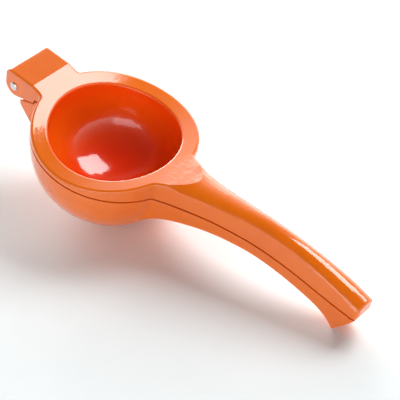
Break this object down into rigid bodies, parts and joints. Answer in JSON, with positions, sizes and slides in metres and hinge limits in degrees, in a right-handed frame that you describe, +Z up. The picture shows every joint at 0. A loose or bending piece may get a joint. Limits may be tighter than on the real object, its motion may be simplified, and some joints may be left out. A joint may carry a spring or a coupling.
{
  "type": "citrus squeezer",
  "caption": "Hinged hand press for citrus halves: a domed upper arm closes into a strainer bowl on a long curved grip, joined by a cross pin.",
  "frame": {"origin": "middle of the length and width, on the level the tool rests on", "axes": "+X from the hinge towards the grip end, +Y along the hinge pin, +Z up as the tool lies on a table"},
  "size_m": [0.235, 0.09, 0.0734],
  "materials": {
    "orange_enamel": "gloss",
    "steel": "polished"
  },
  "bodies": {
    "bowl_arm": {"bowl_arm": "orange_enamel"},
    "press_arm": {"press_arm": "orange_enamel", "hinge_pin": "steel"}
  },
  "joints": [
    {"name": "arm_hinge", "type": "hinge", "parent": "bowl_arm", "child": "press_arm", "pos_m": [-0.11112, 0, 0.06345], "axis": [0, -1, 0], "range_deg": [0, 153]}
  ]
}
